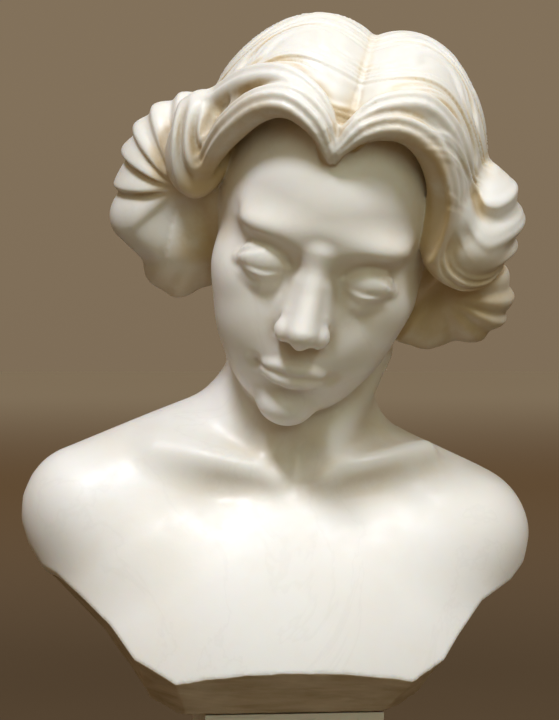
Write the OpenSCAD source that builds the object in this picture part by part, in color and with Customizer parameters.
// Marble bust of a woman with a bowed head, on a square marble socle.
// Row frame: +Z up, the figure faces -Y, +X is the viewer's right from the front.
// Origin: centre of the socle's underside, on the turning axis.

/* [Socle] */
// Side of the square die that carries the bust
die_w = 114; // [100:1:126]
// Height of the die
die_h = 80; // [76:1:120]
// Side of the foot slab
foot_w = 152; // [134:1:180]
// Height of the foot slab
foot_h = 26; // [22:1:40]
// Radius of the cove worked round the foot slab's top edge
cove_r = 12; // [6:1:14]
// Thickness of the felt under the foot
felt_t = 2; // [1.5:0.5:4]
// Thickness of the mortar bed between foot and die
bed_t = 1.5; // [1:0.5:3]

/* [Pin] */
// Radius of the bronze pin on which the bust turns
pin_r = 10; // [8:0.5:12]
// Length of the pin held in the bust
pin_up = 82; // [60:1:90]
// Length of the pin that drops into the socle
pin_down = 66; // [50:1:70]
// Radial running clearance of the pin in its bush
run_clear = 0.05; // [0.02:0.01:0.09]
// Outer radius of the bush flange and of the bearing washer
flange_r = 34; // [28:1:40]
// Thickness of the bearing washer
washer_t = 3; // [2:0.5:4]
// Height of the open seam between socle and bust
seam = 0.8; // [0.6:0.1:1.5]

/* [Torso] */
// Slope of the cut below the chest's front edge, in degrees from level
cut_slope = 38; // [34:1:44]
// Reach of the right shoulder (the viewer's left) from the axis
reach_r = 173; // [166:1:176]
// Reach of the left shoulder from the axis
reach_l = 163; // [156:1:168]
// Depth of the chest in front of the shoulders' middle
chest_d = 106; // [102:1:109]
// Radius of the neck
neck_r = 51; // [46:1:54]

/* [Head] */
// Half width of the cranium
skull_w = 73; // [70:0.5:76]
// Half depth of the cranium
skull_d = 94; // [90:0.5:98]
// Forward bow of the head, in degrees
bow = 24; // [18:1:30]
// Lean of the head to the viewer's right, in degrees
lean = 13; // [8:1:18]
// Turn of the face to the viewer's left, in degrees
turn = 6; // [0:1:12]

/* [Hair] */
// Locks that sweep down from the parting on each side
side_locks = 7; // [5:1:8]
// Flutes in the fan of hair over each ear
fan_flutes = 7; // [5:1:8]

/* [Hidden] */

marble = "ivory";
foot_z = felt_t;
bed_z = foot_z + foot_h;
die_z = bed_z + bed_t;
die_top = die_z + die_h;
base_z = die_top + seam;             // underside of the bust
seat_depth = 2 * washer_t - seam;    // recess that holds the bush flange and the washer
seat_z = die_top - seat_depth;       // underside of the bush flange
flange_top = seat_z + washer_t;
bush_wall = 4;
bush_r = pin_r + bush_wall;
hole_end = 3;                        // air below the pin
bush_len = pin_down + hole_end - (base_z - seat_z);
plaster_t = 5;
plaster_r = pin_r + plaster_t;
joint_dowel_r = 4;
joint_dowel_len = 36;
joint_dowel_x = 38;
head_at = [21, -38, 306];            // centre of the cranium above the bust's underside
round_fn = 96;

// ---- small helpers -------------------------------------------------------------------------

module egg(at, radii) { translate(at) scale(radii) sphere(r = 1, $fn = 20); }

function mix(a, b, t) = a + (b - a) * t;
// Quadratic curve through control points a, b and c
function bend(a, b, c, t) = mix(mix(a, b, t), mix(b, c, t), t);

// Eggs are [centre, radii] pairs. mirrored() adds each one's twin across x = 0.
function mirrored(eggs) = [for (s = [-1, 1]) for (e = eggs) [[s * e[0].x, e[0].y, e[0].z], e[1]]];

// Balls strung evenly along a curve with control points a, b and c, as eggs
function string_of(a, b, c, r0, r1, n) =
    [for (i = [0 : n]) [bend(a, b, c, i / n), mix(r0, r1, i / n) * [1, 1, 1]]];

// Rough distance from q to the skin of an egg, where q is seen from the egg's centre
function gap(q, r) = (norm([q.x / r.x, q.y / r.y, q.z / r.z]) - 1) * min(r);

// Distance from p to a set of eggs whose joins are rounded over a width k
function blended(p, eggs, k) = -k * ln([for (e = eggs) exp(-gap(p - e[0], e[1]) / k)] * [for (e = eggs) 1]);

// Walks in along direction d, from far out to the skin, and returns the skin's distance from the origin
function skin_at(d, far, eggs, k, steps) =
    steps == 0 ? far : skin_at(d, max(far - blended(d * far, eggs, k), 5), eggs, k, steps - 1);

// A smooth body that wraps a set of eggs, with finer facets level with the centre and in front
module wrap(centre, eggs, across, up, k, far, finer = 0) {
    near = [for (e = eggs) [e[0] - centre, e[1]]];
    function place(d) = centre + d * skin_at(d, far, near, k, 9);
    rings = [for (j = [1 : up - 1]) for (i = [0 : across - 1])
        let (even_lat = -90 + 180 * j / up, lat = even_lat - finer * 28 * sin(2 * even_lat),
             even_lon = 360 * i / across, lon = even_lon - finer * 57 * sin(even_lon) - 90)
        place([cos(lat) * cos(lon), cos(lat) * sin(lon), sin(lat)])];
    south = len(rings);
    skin = [for (j = [0 : up - 3]) for (i = [0 : across - 1])
        let (n = (i + 1) % across, a = j * across + i, b = j * across + n)
        each [[a, a + across, b], [b, a + across, b + across]]];
    bottom = [for (i = [0 : across - 1]) [i, (i + 1) % across, south]];
    last = (up - 2) * across;
    top = [for (i = [0 : across - 1]) [last + (i + 1) % across, last + i, south + 1]];
    polyhedron(points = concat(rings, [place([0, 0, -1]), place([0, 0, 1])]),
               faces = concat(skin, bottom, top));
}

// ---- socle ---------------------------------------------------------------------------------

module felt_sheet() {
    w = foot_w - 8;
    color("darkolivegreen") translate([-w / 2, -w / 2, 0]) cube([w, w, felt_t]);
}

module joint_dowel_holes(z, h) {
    for (s = [-1, 1])
        translate([s * joint_dowel_x, 0, z]) cylinder(r = joint_dowel_r, h = h, $fn = round_fn);
}

module foot_slab() {
    color(marble) difference() {
        translate([-foot_w / 2, -foot_w / 2, foot_z]) cube([foot_w, foot_w, foot_h]);
        for (a = [0 : 90 : 270])
            rotate([0, 0, a]) translate([foot_w / 2, 0, bed_z]) rotate([90, 0, 0])
                cylinder(r = cove_r, h = foot_w + 2, center = true, $fn = round_fn);
        joint_dowel_holes(bed_z - joint_dowel_len / 2, joint_dowel_len);
    }
}

module mortar_bed() {
    w = die_w - 4;
    color("gainsboro") difference() {
        translate([-w / 2, -w / 2, bed_z]) cube([w, w, bed_t]);
        joint_dowel_holes(bed_z - 1, bed_t + 2);
    }
}

module die_block() {
    color(marble) difference() {
        translate([-die_w / 2, -die_w / 2, die_z]) cube([die_w, die_w, die_h]);
        translate([0, 0, seat_z]) cylinder(r = flange_r + 0.6, h = seat_depth + 1, $fn = round_fn);
        translate([0, 0, seat_z - bush_len]) cylinder(r = bush_r, h = bush_len + 1, $fn = round_fn);
        joint_dowel_holes(die_z - 1, 1 + joint_dowel_len / 2 - bed_t);
    }
}

module joint_dowels() {
    color("darkgoldenrod") joint_dowel_holes(bed_z - joint_dowel_len / 2, joint_dowel_len);
}

// ---- turning gear --------------------------------------------------------------------------

module pin_bush() {
    color("goldenrod") difference() {
        union() {
            translate([0, 0, seat_z]) cylinder(r = flange_r, h = washer_t, $fn = round_fn);
            translate([0, 0, seat_z - bush_len]) cylinder(r = bush_r, h = bush_len + 1, $fn = round_fn);
        }
        translate([0, 0, seat_z - bush_len - 1])
            cylinder(r = pin_r + run_clear, h = bush_len + washer_t + 2, $fn = round_fn);
    }
}

module bearing_washer() {
    color("gold") translate([0, 0, flange_top]) difference() {
        cylinder(r = flange_r, h = washer_t, $fn = round_fn);
        translate([0, 0, -1]) cylinder(r = pin_r + run_clear, h = washer_t + 2, $fn = round_fn);
    }
}

module dowel_pin() {
    color("peru") translate([0, 0, base_z - pin_down])
        cylinder(r = pin_r, h = pin_down + pin_up, $fn = round_fn);
}

module pin_plaster() {
    color("whitesmoke") difference() {
        translate([0, 0, base_z + 1]) cylinder(r = plaster_r, h = pin_up + plaster_t, $fn = round_fn);
        translate([0, 0, base_z]) cylinder(r = pin_r, h = pin_up, $fn = round_fn);
    }
}

// ---- bust: torso ---------------------------------------------------------------------------

// Outline of the torso seen from the front
module torso_outline() {
    polygon([
        [-86, -20], [-92, 8], [-101, 26], [-117, 50], [-134, 68], [-150, 84], [-reach_r + 14, 90],
        [-reach_r + 5, 105], [-reach_r, 121], [-reach_r + 1, 138], [-reach_r + 7, 152],
        [-reach_r + 16, 164], [-146, 175], [-120, 192], [-60, 250], [-60, 330], [90, 330], [90, 232],
        [125, 180], [reach_l - 16, 162], [reach_l - 5, 146], [reach_l, 128], [reach_l, 111],
        [reach_l - 7, 89], [145, 77], [122, 63], [102, 39], [88, 19], [80, -20],
    ]);
}

arm_right = [-reach_r + 44, 4, 126];
arm_left = [reach_l - 44, 6, 110];
pit_of_neck = [3, 14, 172];
skull_base = [20, -20, 272];

torso_eggs = concat(
    [[[-5, 9, -20], [reach_r - 2, chest_d, 187]]],
    mirrored([
        [[92, 2, 98], [62, 52, 54]],         // side of the chest, under the arm
        [[50, 28, 124], [58, 38, 48]],       // shoulder blade
    ]),
    string_of(arm_right, mix(arm_right, pit_of_neck, 0.5), pit_of_neck, 44, neck_r - 3, 4),
    string_of(arm_left, mix(arm_left, pit_of_neck, 0.5) - [0, 0, 10], pit_of_neck, 43, neck_r - 3, 4),
    string_of(pit_of_neck, [12, 2, 222], skull_base, neck_r - 1, neck_r - 3, 5)
);

// Flat cuts below the chest: a point on each, and the direction it faces
half_die = die_w / 2;
cuts = [
    [[0, -half_die, 0], [0, -sin(cut_slope), -cos(cut_slope)]],      // front
    [[0, half_die, 0], [0, 40, -20]],                                // back
    [[-half_die - 12, -half_die, 0], [-65, -42, -78]],               // right front corner
    [[half_die, -half_die, 0], [48, -26, -63]],                      // left front corner
    [[-half_die, half_die, 0], [-43, 7, -90]],                       // right side
    [[half_die, half_die, 0], [43, 7, -90]],                         // left side
];

// The space beyond a flat cut
module beyond(cut) {
    n = cut[1];
    translate(cut[0]) rotate([0, acos(n.z / norm(n)), atan2(n.y, n.x)])
        translate([-250, -250, 0]) cube([500, 500, 250]);
}

// The two scoops that hollow the back and leave a pier between them
module back_scoops() {
    for (s = [-1, 1])
        hull() {
            egg([s * 88, 66, 92], [44, 62, 42]);
            egg([s * 62, 68, 40], [24, 56, 26]);
        }
}

back_y = 66;                                 // flat of the back

module torso() {
    difference() {
        intersection() {
            wrap([0, 8, 112], torso_eggs, 48, 30, 5, 220);
            translate([0, back_y, 0]) rotate([90, 0, 0]) linear_extrude(height = 220) torso_outline();
        }
        for (cut = cuts) beyond(cut);
        translate([-200, -200, -100]) cube([400, 400, 100]);
        back_scoops();
    }
}

// ---- bust: head, in its own frame (centre of the cranium, face along -Y) --------------------

face_eggs = concat(
    [
        [[0, -34, -42], [51, 51, 66]],       // middle of the face
        [[0, -65, -86], [23, 22, 20]],       // chin
        [[0, -84, -68], [13, 8, 5]],         // lower lip
        [[0, -103, -31], [8, 8, 8]],         // tip of the nose
    ],
    string_of([0, -84, 10], [0, -91, -8], [0, -100, -27], 6, 7, 4),
    mirrored([
        [[21, -74, 21], [23, 16, 8]],        // brow
        [[31, -72, 0], [14, 12, 9]],         // closed eye
        [[42, -40, -16], [23, 34, 20]],      // cheekbone
        [[27, -48, -40], [24, 30, 27]],      // cheek
        [[36, -12, -60], [17, 36, 26]],      // corner of the jaw
        [[9, -94, -35], [6, 9, 5]],          // wing of the nose
        [[6, -85, -57], [12, 7, 4]],         // upper lip
    ])
);

hair_eggs = concat(
    [[[-30, 12, 45], [66, 98, 91]], [[24, 12, 42], [64, 98, 88]]],    // crown, a lobe each side
    mirrored([
        [[34, -52, 80], [34, 28, 20]],       // roll over the forehead
        [[66, -34, 44], [20, 32, 40]],       // sweep over the temple
        [[40, 62, 10], [50, 52, 66]],        // back of the head
    ])
);

nape_knot = [[0, 94, -20], [48, 36, 42]];

// Middle of the fan of hair over each ear: the right one hangs lower and stands out further
right_fan = [-89, 12, 2];
left_fan = [77, 12, 8];

// One flute of the fan around c: balls from the ear out to the fan's rim, numbered from the top
function flute(c, i) =
    let (s = sign(c.x), a = mix(70, -100, i / (fan_flutes - 1)),
         hub = c + [-10 * s, -24, -6],
         rim = c + [s * (12 + 30 * cos(a)), 2, -6 + 62 * sin(a)])
    string_of(hub, mix(hub, rim, 0.6) + [6 * s, -10, 0], rim, 8, 11, 4);

// One lock from the parting down over the temple, numbered from the front
function sweep(i) =
    let (t = i / (side_locks - 1),
         root = bend([8, -76, 88], [8, -10, 150], [8, 64, 104], t),
         fall = bend([84, -48, 28], [90, -6, 44], [78, 74, 40], t),
         crest = mix(root, fall, 0.5) + bend([16, -16, 38], [24, 0, 50], [22, 16, 38], t))
    string_of(root, crest, fall, 8, 11, 5);

locks = concat(
    [for (c = [right_fan, left_fan]) for (i = [0 : fan_flutes - 1]) each flute(c, i)],
    [for (c = [right_fan, left_fan]) each [[c, [30, 38, 58]], [c + [0, 14, -34], [28, 34, 34]]]],
    mirrored([for (i = [0 : side_locks - 1]) each sweep(i)])
);

cranium = [[0, 4, 28], [skull_w, skull_d, 84]];

module head() {
    wrap([0, 0, -14], concat([cranium, nape_knot], face_eggs, hair_eggs, locks), 78, 50, 2.4, 190, 0.42);
}

module bust_block() {
    color(marble) translate([0, 0, base_z]) difference() {
        union() {
            torso();
            translate(head_at) rotate([0, lean, 0]) rotate([0, 0, -turn]) rotate([bow, 0, 0]) head();
        }
        translate([0, 0, -1])
            cylinder(r = plaster_r / cos(180 / round_fn) + 0.02, h = pin_up + plaster_t + 2, $fn = round_fn);
    }
}

felt_sheet();
foot_slab();
mortar_bed();
die_block();
joint_dowels();
pin_bush();
bearing_washer();
dowel_pin();
pin_plaster();
bust_block();
